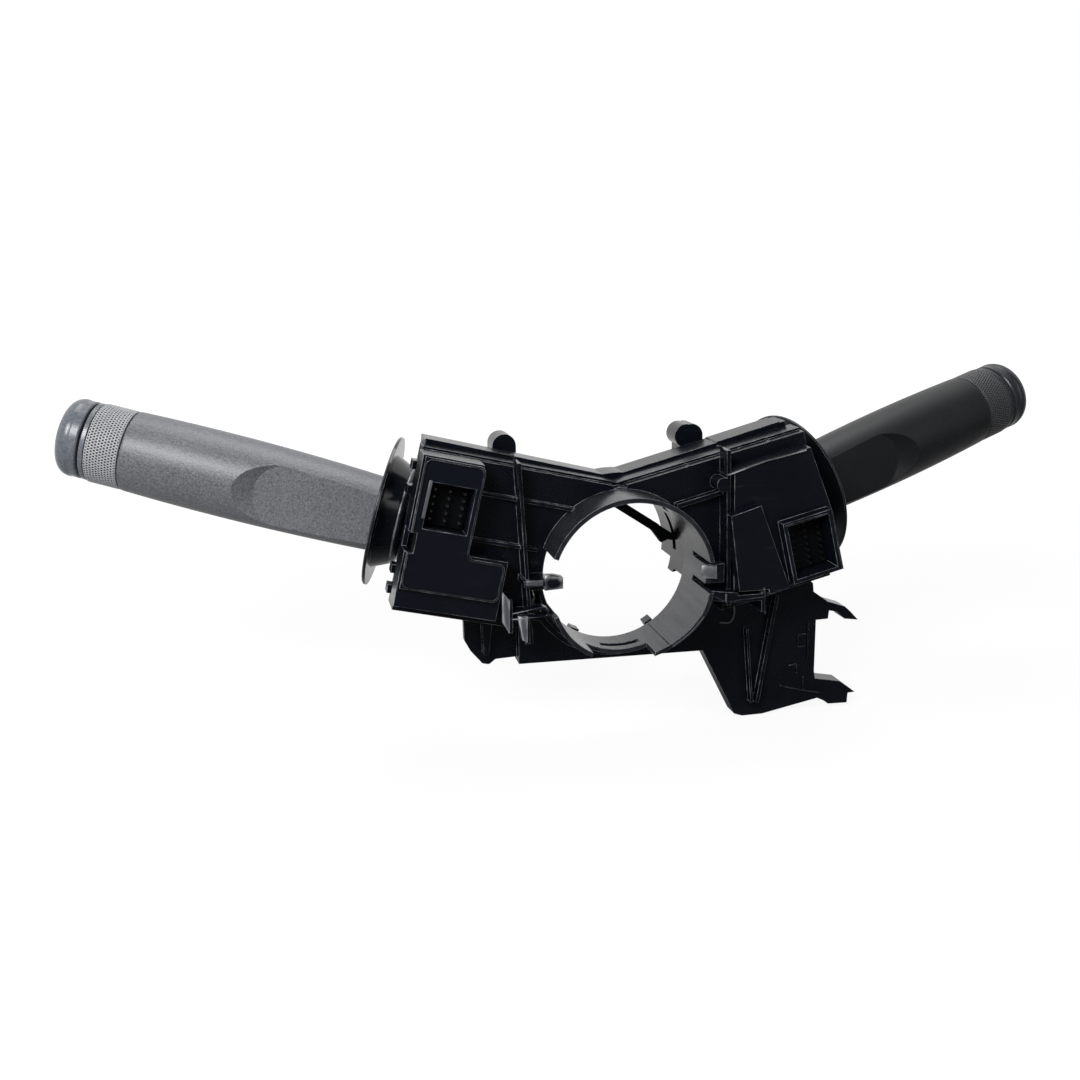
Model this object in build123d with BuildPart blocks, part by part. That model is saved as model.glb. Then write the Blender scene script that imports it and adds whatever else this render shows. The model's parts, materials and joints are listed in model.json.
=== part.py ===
"""Combination stalk switch for a steering column.

The origin is the centre of the column collar. +Y runs along the column towards the
steering wheel, -Y towards the dash, +Z is up. The light stalk is on +X, the wiper
stalk on -X. Lengths are millimetres and angles are degrees.
"""
from build123d import *
import os
from math import cos, radians, sin, sqrt, tan

os.makedirs("parts", exist_ok=True)

# Column collar
bore_radius = 29.0
collar_wall = 1.7
collar_near = -14.5
rib_start = bore_radius + 1.2
upper_rib_start = 22.0
finger_face = -9.0
slit_far = 4.0
slit_width = 2.2
lower_rim = -0.5
shoulder_near = 11.4
shoulder_far = 13.6
collar_far = 14.5

# Wings of the housing, each measured outwards (u) and upwards (w) along its own rise
wing_rise = 13.5
wing_top = 31.5
wing_bottom = -27.0
wing_end = 79.5
wall = 2.2
web_near = 2.0
web_thickness = 2.5
parting = 14.0
deck_far = 25.0
cover_top = 32.3
mouth_end = 70.0
ledge_reach = 40.0
ledge_height = -13.0

# Lever chambers behind the deck
chamber_wall_radius = 29.5
ring_centre = (2.0, -0.9)
ring_bore_radius = 33.2
chamber_start = 24.0
chamber_low_start = 33.0
chamber_top = 25.5
chamber_bottom = -24.0
chamber_reach = 20.0
chamber_mouth = -19.0
chamber_near_bottom = -15.0
step_height = -10.5
steps = ((32.0, 31.0), (38.0, 36.0))

# The chambers are drawn from behind the stalks, then cut back square to them
chamber_depth = deck_far + 2 * chamber_reach

# Stalks
stalk_rise = 15.1
stalk_yaw = 14.5
flange_centre = Vector(83.0, 35.5, 19.1)
pivot_inset = 42.0
lever_offset = 9.0
stem_radius = 7.5
light_flange_radius = 31.0
wiper_flange_radius = 28.2
light_flange_lift = 0.5
wiper_flange_lift = 1.7
flange_thickness = 1.3
flange_edge = 0.4
shield_floor = 3.0
boss_radius = 21.5
boss_tip_radius = 18.5
boss_length = 7.6
shell_base_radius = 14.0
shell_waist = 47.0
shell_waist_radius = 15.6
shell_end_radius = 15.0
shell_length = 94.6
shell_wall = 2.0
scoop_length = 46.0
scoop_depth = 5.2
scoop_half_width = 11.5
ring_length = 12.2
ring_radius = 14.9
trim_length = 1.5
trim_radius = 14.5
button_length = 8.6
button_radius = 14.5
button_travel = 0.8

# Yokes, levers and springs inside the chambers
yoke_half = 8.0
yoke_height = 13.5
yoke_back = 6.2
yoke_chamfer = 5.0
yoke_front = 13.5
pin_radius = 3.0
far_boss_radius = 6.0
far_boss_depth = 6.0
yoke_pin_dash_end = 20.6
lever_pin_radius = 2.5
eye_radius = 4.2
eye_half = 6.2
stem_start = -24.2
journal_radius = 10.0
spigot_radius = 8.0
plunger_offset = 3.4
plunger_radius = 2.3
plunger_hole_depth = 8.5
plunger_tip = 18.4
track_radius = 19.2
plunger_angle = -10.5
detent_spring_height = 4.0
spring_wire_radius = 0.3
button_stem_radius = 4.5
button_stem_length = 9.5
button_bore_inset = 1.1
button_spring_height = 5.4
scoop_rise = 8.0
scoop_slope = 52.0

# Screws
screw_radius = 1.5
screw_reach = 16.0
screw_head_radius = 2.7
screw_head_height = 1.8
screw_boss_radius = 2.5
screw_places = ((34.0, 28.3), (66.0, 28.3))

# Turn-signal cancelling pawl
pawl_pivot = (-12.5, 32.3)
pawl_far = 28.4
pawl_thickness = 3.0
pawl_hub_radius = 3.2
pawl_width = 3.4
pawl_pin_radius = 1.6
pawl_spring_height = 3.0

# Fits
running_clearance = 0.05
seat_clearance = 0.02
moving_gap = 0.4

# Cases on the dash side
case_face = -8.0
case_wall = 1.8
cover_face = -10.0
cover_corner = 2.4
light_face = -6.0
shelf_top = -8.0
board_thickness = 1.6

# Lower plate and connector bracket
plate_near = 16.5
tab_corner = 1.4
plate_far = 24.0
plate_thickness = 2.2
tab_near = 21.0
ear_radius = 4.5
ear_height = 44.0
ear_far = 40.0
left_ear_drop = 0.5
peg_width = 3.4
pegs = ((-115, 9.0, 25.0), (-58, 8.0, 22.0))
peg_depth = 5.0


# Stations along the stalk that follow from the shell and the fits
ring_start = shell_length + moving_gap
ring_end = ring_start + ring_length - 0.2
button_bore_floor = shell_length - button_bore_inset

# Directions of the light stalk: outwards, upwards and towards the dash
outward = Vector(
    cos(radians(stalk_rise)) * cos(radians(stalk_yaw)),
    cos(radians(stalk_rise)) * sin(radians(stalk_yaw)),
    sin(radians(stalk_rise)),
)
upward = (Vector(0, 0, 1) - outward * outward.Z).normalized()
dashward = outward.cross(upward)


def across(y):
    """Plane square to the column, drawn in (x, z); it extrudes towards the dash."""
    return Plane(origin=(0, y, 0), x_dir=(1, 0, 0), z_dir=(0, -1, 0))


def wing(y, side=1):
    """Plane of one wing, drawn in (u, w); it extrudes by side times the depth."""
    rise = radians(wing_rise)
    return Plane(origin=(0, y, 0), x_dir=(side * cos(rise), 0, sin(rise)), z_dir=(0, -side, 0))


def wing_point(u, w):
    """The (x, z) of a point given along the right-hand wing."""
    rise = radians(wing_rise)
    return (u * cos(rise) - w * sin(rise), u * sin(rise) + w * cos(rise))


def wing_height(x, w):
    """The z at which the line of constant w crosses x."""
    rise = radians(wing_rise)
    return (w + x * sin(rise)) / cos(rise)


def stalk_section(s):
    """Plane square to the stalk at s from the flange, drawn in (up, towards the dash)."""
    return Plane(origin=flange_centre + outward * s, x_dir=upward, z_dir=outward)


def stalk_side(reach=0.0, lift=0.0):
    """Plane along the stalk, drawn in (s, up); it extrudes towards the dash."""
    origin = flange_centre + dashward * reach + upward * lift
    return Plane(origin=origin, x_dir=outward, z_dir=dashward)


def stalk_plan(height=0.0):
    """Plane along the stalk, drawn in (s, towards the wheel); it extrudes upwards."""
    return Plane(origin=flange_centre + upward * height, x_dir=outward, z_dir=upward)


def between(low, high, mode=Mode.ADD):
    """Rectangle between two corners."""
    with Locations(((low[0] + high[0]) / 2, (low[1] + high[1]) / 2)):
        Rectangle(high[0] - low[0], high[1] - low[1], mode=mode)


def outline(*points, mode=Mode.ADD):
    """Closed straight-sided face through the points."""
    with BuildLine() as border:
        Polyline(*points, close=True)
    make_face(border.edges(), mode=mode)


def slanted(start, end, width):
    """Straight bar from start to end, square-ended."""
    dx, dz = end[0] - start[0], end[1] - start[1]
    reach = sqrt(dx * dx + dz * dz)
    side = (-dz / reach * width / 2, dx / reach * width / 2)
    outline(
        (start[0] + side[0], start[1] + side[1]),
        (end[0] + side[0], end[1] + side[1]),
        (end[0] - side[0], end[1] - side[1]),
        (start[0] - side[0], start[1] - side[1]),
    )


def export(name, piece):
    """Label one finished piece and write it."""
    piece.label = name
    export_step(piece, f"parts/{name}.step")


def export_pair(name, piece):
    """Write the light-side piece and its mirror image on the wiper side."""
    with BuildPart() as opposite:
        mirror(piece, about=Plane.YZ)
    export(f"light_{name}", piece)
    export(f"wiper_{name}", opposite.part)


pivot_s = -pivot_inset
pivot = flange_centre + outward * pivot_s
pivot_axis = Axis(pivot, dashward)

# ---------------------------------------------------------------- lever chambers


def chamber(inset):
    """Solid of a chamber drawn in by inset, ended square to the stalk at its mouth."""
    with BuildPart() as solid:
        with BuildSketch(wing(chamber_depth)):
            between(
                (chamber_start + inset, chamber_near_bottom + inset),
                (wing_end + 8, chamber_top - inset),
            )
            between(
                (chamber_low_start + inset, chamber_bottom + inset),
                (wing_end + 8, chamber_top - inset),
            )
            Circle(chamber_wall_radius + inset, mode=Mode.SUBTRACT)
        extrude(amount=chamber_depth - deck_far + 3 * (inset > 0))
        for step_reach, step_depth in steps:
            with BuildSketch(wing(chamber_depth)):
                between((0, chamber_bottom), (step_reach + inset, step_height + inset))
            extrude(amount=chamber_depth - step_depth + inset, mode=Mode.SUBTRACT)
        split(bisect_by=stalk_side(-chamber_reach + inset), keep=Keep.TOP)
        split(
            bisect_by=stalk_section(chamber_mouth + 2 * inset),
            keep=Keep.BOTTOM,
        )
    return solid.part


chamber_solid = chamber(0)
chamber_space = chamber(wall)

# ---------------------------------------------------------------- column carrier
with BuildSketch() as carrier_outline:
    outline(
        (0, wing_height(0, wing_top)),
        wing_point(wing_end, wing_top),
        wing_point(wing_end, wing_bottom),
        (ledge_reach, wing_height(ledge_reach, wing_bottom)),
        (ledge_reach, ledge_height),
        (0, ledge_height),
    )
    mirror(about=Plane.YZ)

with BuildPart() as pivot_boss:
    with BuildSketch(stalk_side(12)):
        with Locations((pivot_s, 0)):
            Circle(6)
            Circle(3 + running_clearance, mode=Mode.SUBTRACT)
    extrude(amount=12)
    split(bisect_by=across(web_near + web_thickness - 0.3), keep=Keep.BOTTOM)

with BuildPart() as column_carrier:
    with BuildSketch(across(parting)):
        add(carrier_outline.sketch_local)
    extrude(amount=parting - web_near)
    with BuildSketch(across(parting)):
        offset(carrier_outline.sketch_local, amount=-wall, kind=Kind.INTERSECTION)
    extrude(amount=parting - web_near - web_thickness, mode=Mode.SUBTRACT)
    for side in (-1, 1):
        with BuildSketch(wing(web_near + 4, side)):
            between((5, wing_top - 0.9), (wing_end + 1, wing_top + 1))
        extrude(amount=side * 4, mode=Mode.SUBTRACT)
    with BuildSketch(across(collar_far)):
        Circle(bore_radius + collar_wall)
    extrude(amount=collar_far - collar_near)
    with BuildSketch(across(collar_far)):
        Circle(bore_radius)
    extrude(amount=collar_far - collar_near, mode=Mode.SUBTRACT)
    # Shoulder in front of the cover's ring
    with BuildSketch(across(shoulder_far)):
        with Locations(ring_centre):
            Circle(ring_bore_radius)
        Circle(bore_radius, mode=Mode.SUBTRACT)
    extrude(amount=shoulder_far - shoulder_near)
    # Ribs of the left web, with the tall upright rib that carries both
    with BuildSketch(wing(web_near, -1)):
        between((upper_rib_start, 19.2), (59.4, 20.4))
        between((rib_start, 2.6), (59.4, 3.8))
    extrude(amount=-2.5)
    with BuildSketch(across(web_near)):
        slanted((-38.6, 43.5), (-35.2, -22.0), 1.2)
    extrude(amount=8)
    # Upright wall, boss and rib of the right web
    with BuildSketch(across(web_near)):
        slanted((38.2, 44.0), (39.8, -14.0), 1.5)
        with Locations((36.6, 31.5)):
            Circle(2.6)
    extrude(amount=7)
    with BuildSketch(across(web_near)):
        slanted((20.5, 23.7), (39.0, 28.2), 1.6)
    extrude(amount=3)
    # Shelves either side of the collar, with their fins
    with BuildSketch(across(web_near)):
        between((-40.5, -12.9), (-27.4, -10.4))
    extrude(amount=9)
    with BuildSketch(across(web_near)):
        slanted((29.0, -8.0), (41.0, -9.8), 3.6)
        between((40.0, -11.6), (51.5, -9.0))
        between((50.6, -16.0), (52.0, shelf_top - moving_gap))
    extrude(amount=12)
    for fin_x, fin_top, fin_foot in ((-43.2, -4.4, -16.6), (-37.0, -12.4, -21.2)):
        with BuildSketch(Plane(origin=(fin_x, 0, 0), x_dir=(0, 1, 0), z_dir=(1, 0, 0))):
            outline((-8, fin_top), (-8, fin_foot), (6, fin_foot + 4), (6, fin_top))
        extrude(amount=0.8, both=True)
    # Opening of the collar on the wiper side, with the latch finger in it
    with BuildSketch(across(web_near)):
        outline((-20, 7.7), (-31.5, 12.1), (-31.5, -11.5), (-20, -7.3))
    extrude(amount=web_near - collar_near, mode=Mode.SUBTRACT)
    with BuildSketch(across(web_near + web_thickness)):
        between((-34.5, -13.6), (-27, -4.6))
    extrude(amount=web_thickness + 12, mode=Mode.SUBTRACT)
    with BuildSketch(across(web_near)):
        between((-38, -0.3), (-bore_radius - 0.3, 1.9))
    extrude(amount=10)
    # Flexible finger of the collar on the light side, with its hook
    for slit_z in (4.4, -4.8):
        with BuildSketch(across(slit_far)):
            between((26, slit_z - slit_width / 2), (34, slit_z + slit_width / 2))
        extrude(amount=slit_far - collar_near, mode=Mode.SUBTRACT)
    with BuildSketch(across(finger_face)):
        between((26, -4.8), (34, 4.4))
    extrude(amount=finger_face - collar_near, mode=Mode.SUBTRACT)
    with BuildSketch(across(finger_face + 3)):
        between((bore_radius + 0.6, -3.7), (36.0, 3.3))
    extrude(amount=3)
    # Lower wall of the collar, set back from the rim, with a slot in what is left
    with BuildSketch(Plane.YZ):
        outline((-16, -14), (-14.5, -14), (-10.5, -30), (-10.5, -40), (-16, -40))
    extrude(amount=40, both=True, mode=Mode.SUBTRACT)
    with BuildSketch(across(lower_rim)):
        between((-14.0, -34), (9.5, -20))
    extrude(amount=lower_rim - collar_near, mode=Mode.SUBTRACT)
    with BuildSketch(across(6)):
        between((-7.0, -34), (8.0, -20))
    extrude(amount=3, mode=Mode.SUBTRACT)
    # Snap blocks on the wing ends
    for side in (-1, 1):
        with BuildSketch(wing(0 + parting, side)):
            for block_w in (24.0, 15.0, -14.0, -21.5):
                with Locations((wing_end + 0.9, block_w)):
                    Rectangle(2.2, 3.2)
        extrude(amount=side * 5)
    add(pivot_boss.part)
    mirror(pivot_boss.part, about=Plane.YZ)
    # Screw bosses
    for side in (-1, 1):
        with BuildSketch(wing(parting, side)):
            with Locations(*screw_places):
                Circle(screw_boss_radius)
        extrude(amount=side * (parting - web_near))
        with BuildSketch(wing(parting, side)):
            with Locations(*screw_places):
                Circle(screw_radius + seat_clearance)
        extrude(amount=side * (screw_reach - deck_far + parting + 1), mode=Mode.SUBTRACT)
export("column_carrier", column_carrier.part)

# ---------------------------------------------------------------- front cover
with BuildSketch() as cover_outline:
    outline(
        (0, wing_height(0, cover_top)),
        wing_point(wing_end - 1.5, cover_top + 1.0),
        wing_point(mouth_end, wing_bottom),
        (ledge_reach - 5, wing_height(ledge_reach - 5, wing_bottom)),
        (0, -24),
    )
    mirror(about=Plane.YZ)
    outline(
        wing_point(46, cover_top - 1), wing_point(50, cover_top + 0.9),
        wing_point(wing_end - 4, cover_top + 1.4), wing_point(wing_end - 2, cover_top - 1),
    )

with BuildSketch() as plate_outline:
    outline(
        (-35.3, -14), (-35.3, -37.7), (38.2, -39.0), (52.2, -67.0), (55.6, -68.2),
        (64.2, -68.2), (87.9, -63.9), (86.0, -52.1), (85.8, -30.4), (83.8, -15.0),
        (78.0, -10.0), (40.0, -14),
    )

with BuildSketch() as tab_outline:
    outline(
        (-30, -20), (-55.4, -18.0), (-55.2, -28.2), (-53.0, -32.4), (-48.6, -37.8),
        (-46.0, -38.4), (-43.5, -36.5), (-30, -36.0),
    )
    fillet(tab_outline.vertices().filter_by_position(Axis.X, -56, -43), tab_corner)

with BuildPart() as far_boss:
    with BuildSketch(stalk_side(-chamber_reach + wall - 0.2)):
        with Locations((pivot_s, 0)):
            Circle(far_boss_radius)
            Circle(pin_radius + running_clearance, mode=Mode.SUBTRACT)
    extrude(amount=far_boss_depth)

with BuildPart() as front_cover:
    with BuildSketch(across(deck_far)):
        add(cover_outline.sketch_local)
    extrude(amount=deck_far - parting)
    with BuildSketch(across(deck_far - wall)):
        offset(cover_outline.sketch_local, amount=-wall, kind=Kind.INTERSECTION)
    extrude(amount=deck_far - wall - parting, mode=Mode.SUBTRACT)
    # Lower plate with the connector bracket, a tray open to the driver
    with BuildSketch(across(plate_far)):
        add(plate_outline.sketch_local)
    extrude(amount=plate_far - plate_near)
    with BuildSketch(across(plate_far)):
        offset(plate_outline.sketch_local, amount=-2.0, kind=Kind.INTERSECTION)
        between((-60, -26), (80, 0), mode=Mode.SUBTRACT)
    extrude(amount=plate_far - plate_near - plate_thickness, mode=Mode.SUBTRACT)
    with BuildSketch(across(plate_far)):
        add(tab_outline.sketch_local)
    extrude(amount=plate_far - tab_near)
    with BuildSketch(across(tab_near)):
        outline((-49.0, -19.5), (-45.0, -19.5), (-46.7, -33.2), (-48.6, -33.2))
    extrude(amount=4)
    # Ring round the column
    with BuildSketch(across(deck_far)):
        with Locations(ring_centre):
            Circle(ring_bore_radius + wall)
    extrude(amount=deck_far - parting)
    for side in (1, -1):
        if side > 0:
            add(chamber_solid)
            add(chamber_space, mode=Mode.SUBTRACT)
            add(far_boss.part)
        else:
            mirror(chamber_solid, about=Plane.YZ)
            mirror(chamber_space, about=Plane.YZ, mode=Mode.SUBTRACT)
            mirror(far_boss.part, about=Plane.YZ)
    with BuildSketch(across(deck_far)):
        with Locations(ring_centre):
            Circle(ring_bore_radius)
    extrude(amount=deck_far - parting, mode=Mode.SUBTRACT)
    # Mouths that let the stalks swing
    for side in (1, -1):
        with BuildSketch(wing(deck_far, side)):
            between(
                (60, chamber_bottom + wall),
                (wing_end + 5, chamber_top - wall),
            )
        extrude(amount=side * wall, mode=Mode.SUBTRACT)
    # Room for the light yoke beside the bore, the wall that closes it off, and the
    # window that the pawl works in
    with BuildSketch(wing(deck_far)):
        between((34.6, -19.0), (60.0, 15.0))
    extrude(amount=deck_far - parting, mode=Mode.SUBTRACT)
    with BuildSketch(across(deck_far + 1)):
        Circle(chamber_wall_radius + wall)
        Circle(chamber_wall_radius, mode=Mode.SUBTRACT)
        outline((0, 0), (60, -15), (60, 42), mode=Mode.INTERSECT)
    extrude(amount=deck_far + 1 - collar_far - moving_gap)
    with BuildSketch(across(pawl_far + moving_gap)):
        between((24.0, 0.0), (36.0, 15.0))
    extrude(amount=pawl_thickness + 2 * moving_gap, mode=Mode.SUBTRACT)
    # Screw bosses and the pawl's pivot hole
    for side in (-1, 1):
        with BuildSketch(wing(deck_far, side)):
            with Locations(*screw_places):
                Circle(screw_boss_radius)
        extrude(amount=side * (deck_far - parting))
        with BuildSketch(wing(deck_far, side)):
            with Locations(*screw_places):
                Circle(screw_radius + seat_clearance)
        extrude(amount=side * (deck_far - parting), mode=Mode.SUBTRACT)
    with BuildSketch(across(deck_far)):
        with Locations(pawl_pivot):
            Circle(pawl_pin_radius + seat_clearance)
    extrude(amount=wall, mode=Mode.SUBTRACT)
    # Mounting ears
    with BuildSketch(across(ear_far)):
        for ear_x, ear_z in ((-36.8, ear_height - left_ear_drop), (36.8, ear_height)):
            with Locations((ear_x, ear_z)):
                Circle(ear_radius)
            between((ear_x - ear_radius, 33.5), (ear_x + ear_radius, ear_z))
        with Locations((34.5, ear_height)):
            Circle(ear_radius)
    extrude(amount=10)
    # V rib of the bracket
    with BuildSketch(across(plate_near)):
        slanted((55.4, -31.0), (58.2, -61.0), 0.9)
        slanted((67.5, -18.0), (60.6, -62.0), 1.4)
    extrude(amount=3)
    # Clip fingers at the edge of the bracket
    with BuildSketch(across(plate_far)):
        outline(
            (84.0, -18.4), (90.6, -23.2), (98.2, -25.9), (100.7, -28.2), (104.1, -31.9),
            (98.2, -31.0), (94.4, -27.7), (91.3, -27.0), (91.0, -30.4), (84.0, -30.5),
        )
        outline(
            (84.0, -54.8), (88.8, -55.8), (97.7, -57.6), (104.5, -62.9), (101.4, -63.0),
            (101.2, -67.2), (92.9, -66.9), (90.6, -65.2), (84.0, -62.0),
        )
    extrude(amount=plate_far - plate_near)
    # Pegs on the ring round the column
    for peg_angle, peg_length, peg_far in pegs:
        with BuildSketch(across(peg_far)):
            with PolarLocations(ring_bore_radius, 1, start_angle=peg_angle):
                Rectangle(peg_length, peg_width)
            Circle(bore_radius + moving_gap, mode=Mode.SUBTRACT)
        extrude(amount=peg_depth)
export("front_cover", front_cover.part)

# ---------------------------------------------------------------- wiper switch case
# Drawn on the light side's wing plane and mirrored over to the wiper side
socket_low = (61.3, 6.0)
socket_high = (76.8, 22.4)

with BuildSketch() as wiper_case_outline:
    outline(
        (44.5, -22.8), (81.0, -22.8), (81.0, 30.8), (59.8, 30.8), (59.8, -1.2), (44.5, -1.2),
    )

with BuildSketch() as wiper_cover_outline:
    outline(
        (45.6, -15.8), (80.4, -15.8), (80.4, 30.4), (59.2, 30.4), (59.2, -1.8), (45.6, -1.8),
    )
    fillet(wiper_cover_outline.vertices().filter_by_position(Axis.X, 40, 60), cover_corner)

with BuildPart() as wiper_case_right:
    with BuildSketch(wing(web_near)):
        add(wiper_case_outline.sketch_local)
    extrude(amount=web_near - case_face)
    with BuildSketch(wing(web_near)):
        offset(wiper_case_outline.sketch_local, amount=-case_wall, kind=Kind.INTERSECTION)
    extrude(amount=web_near - case_face - case_wall, mode=Mode.SUBTRACT)
    # Socket walls, down to the circuit board
    with BuildSketch(wing(web_near - board_thickness)):
        between(
            (socket_low[0] - 1.4, socket_low[1] - 1.4),
            (socket_high[0] + 1.4, socket_high[1] + 1.4),
        )
    extrude(amount=web_near - board_thickness - case_face)
    with BuildSketch(wing(web_near)):
        between(socket_low, socket_high)
    extrude(amount=web_near - case_face, mode=Mode.SUBTRACT)
    # Snap notch in the outer end
    with BuildSketch(wing(0)):
        between((77.8, -3.0), (82.0, 4.2))
    extrude(amount=8, mode=Mode.SUBTRACT)

with BuildPart() as wiper_cover_right:
    with BuildSketch(wing(case_face)):
        add(wiper_cover_outline.sketch_local)
        between(socket_low, socket_high, mode=Mode.SUBTRACT)
        between((78.2, -3.0), (82.0, 4.2), mode=Mode.SUBTRACT)
    extrude(amount=case_face - cover_face)

with BuildPart() as wiper_board_right:
    with BuildSketch(wing(web_near)):
        between((61.7, -18.0), (77.2, 27.4))
    extrude(amount=board_thickness)

header_height = 2.6
pin_length = 3.4
pin_pitch = 2.6
pin_width = 0.8
board_near = web_near - board_thickness
wiper_socket_middle = (
    (socket_low[0] + socket_high[0]) / 2,
    (socket_low[1] + socket_high[1]) / 2,
)

with BuildPart() as wiper_header_right:
    with BuildSketch(wing(board_near)):
        between(
            (socket_low[0] + moving_gap, socket_low[1] + moving_gap),
            (socket_high[0] - moving_gap, socket_high[1] - moving_gap),
        )
    extrude(amount=header_height)

with BuildPart() as wiper_pins_right:
    with BuildSketch(wing(board_near - header_height)):
        with Locations(wiper_socket_middle):
            with GridLocations(2 * pin_pitch, pin_pitch, 3, 5):
                Rectangle(pin_width, pin_width)
    extrude(amount=pin_length)

for name, piece in (
    ("wiper_switch_case", wiper_case_right),
    ("wiper_case_cover", wiper_cover_right),
    ("wiper_circuit_board", wiper_board_right),
    ("wiper_pin_header", wiper_header_right),
    ("wiper_terminal_pins", wiper_pins_right),
):
    with BuildPart() as on_wiper_side:
        mirror(piece.part, about=Plane.YZ)
    export(name, on_wiper_side.part)

# ---------------------------------------------------------------- light switch case
light_socket_low = (61.4, -19.4)
light_socket_high = (77.8, 1.4)
light_socket_rim = -10.5
socket_wall = 1.5

with BuildSketch() as light_case_outline:
    outline(
        (40.2, wing_height(40.2, 25.6)),
        wing_point(77.5, 26.4),
        wing_point(81.5, 0.0),
        wing_point(81.8, -22.8),
        (52.8, wing_height(52.8, -22.8)),
        (52.8, shelf_top),
        (41.2, shelf_top),
    )

with BuildPart() as light_case:
    with BuildSketch(across(web_near)):
        add(light_case_outline.sketch_local)
    extrude(amount=web_near - light_face)
    with BuildSketch(across(web_near)):
        offset(light_case_outline.sketch_local, amount=-case_wall, kind=Kind.INTERSECTION)
    extrude(amount=web_near - light_face - case_wall, mode=Mode.SUBTRACT)
    with BuildSketch(wing(board_near)):
        between(
            (light_socket_low[0] - socket_wall, light_socket_low[1] - socket_wall),
            (light_socket_high[0] + socket_wall, light_socket_high[1] + socket_wall),
        )
    extrude(amount=board_near - light_socket_rim)
    with BuildSketch(wing(web_near)):
        between(light_socket_low, light_socket_high)
    extrude(amount=web_near - light_socket_rim, mode=Mode.SUBTRACT)

with BuildPart() as light_cover:
    with BuildSketch(across(light_face)):
        outline(
            wing_point(41.6, 11.4),
            wing_point(53.4, 12.0),
            wing_point(58.0, -21.6),
            (53.4, wing_height(53.4, -21.6)),
            (53.4, shelf_top + 0.4),
            (41.8, shelf_top + 0.4),
        )
    extrude(amount=light_face - cover_face)

with BuildPart() as light_board:
    with BuildSketch(wing(web_near)):
        between((56.5, -20.6), (77.4, 12.0))
    extrude(amount=board_thickness)

with BuildPart() as light_header:
    with BuildSketch(wing(board_near)):
        between(
            (light_socket_low[0] + moving_gap, light_socket_low[1] + moving_gap),
            (light_socket_high[0] - moving_gap, light_socket_high[1] - moving_gap),
        )
    extrude(amount=header_height)

with BuildPart() as light_pins:
    with BuildSketch(wing(board_near - header_height)):
        with Locations((
            (light_socket_low[0] + light_socket_high[0]) / 2,
            (light_socket_low[1] + light_socket_high[1]) / 2,
        )):
            with GridLocations(2 * pin_pitch, pin_pitch, 3, 7):
                Rectangle(pin_width, pin_width)
    extrude(amount=pin_length)

export("light_switch_case", light_case.part)
export("light_case_cover", light_cover.part)
export("light_circuit_board", light_board.part)
export("light_pin_header", light_header.part)
export("light_terminal_pins", light_pins.part)

# ---------------------------------------------------------------- screws
with BuildPart() as cover_screws:
    for side in (-1, 1):
        with BuildSketch(wing(deck_far, side)):
            with Locations(*screw_places):
                Circle(screw_radius)
        extrude(amount=side * screw_reach)
        with BuildSketch(wing(deck_far, side)):
            with Locations(*screw_places):
                Circle(screw_head_radius)
        extrude(amount=-side * screw_head_height)
export("cover_screws", cover_screws.part)

# ---------------------------------------------------------------- cancelling pawl
with BuildPart() as cancel_pawl:
    with BuildSketch(across(pawl_far)):
        with Locations(pawl_pivot):
            Circle(pawl_hub_radius)
        slanted(pawl_pivot, (21.8, 9.2), pawl_width)
        outline(
            (20.0, 12.2), (25.8, 8.3), (30.2, 5.4), (28.8, 3.9), (26.2, 4.6), (23.5, 3.5),
            (19.0, 9.6),
        )
        with Locations(pawl_pivot):
            Circle(pawl_pin_radius + running_clearance, mode=Mode.SUBTRACT)
    extrude(amount=pawl_thickness)
export("cancel_pawl", cancel_pawl.part)

with BuildPart() as pawl_pin:
    with BuildSketch(across(pawl_far + pawl_spring_height + 0.8)):
        with Locations(pawl_pivot):
            Circle(pawl_pin_radius)
    extrude(amount=pawl_far + pawl_spring_height + 0.8 - deck_far + wall)
    with BuildSketch(across(pawl_far + pawl_spring_height + 1.8)):
        with Locations(pawl_pivot):
            Circle(pawl_hub_radius - 0.4)
    extrude(amount=1.0)
export("pawl_pin", pawl_pin.part)

with BuildPart() as pawl_spring:
    with BuildLine() as pawl_coil:
        Helix(
            pitch=0.75,
            height=pawl_spring_height - 0.7,
            radius=pawl_pin_radius + 0.7,
            center=(pawl_pivot[0], pawl_far + 0.4, pawl_pivot[1]),
            direction=(0, 1, 0),
        )
    with BuildSketch(Plane(pawl_coil.line @ 0, z_dir=pawl_coil.line % 0)):
        RegularPolygon(radius=spring_wire_radius, side_count=6)
    sweep(path=pawl_coil.line, is_frenet=True)
export("pawl_spring", pawl_spring.part)

# ---------------------------------------------------------------- detent tracks
with BuildPart() as detent_track:
    with BuildSketch(stalk_side(-4.5)):
        between((pivot_s - 13, 12), (pivot_s + 8, 32))
        with Locations((pivot_s, 0)):
            Circle(track_radius, mode=Mode.SUBTRACT)
            for step in (-1, 0, 1):
                with PolarLocations(
                    track_radius, 1, start_angle=90 - plunger_angle + 9 * step
                ):
                    Circle(1.0, mode=Mode.SUBTRACT)
    extrude(amount=9)
    add(chamber_space, mode=Mode.INTERSECT)
export_pair("detent_track", detent_track.part)

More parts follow.
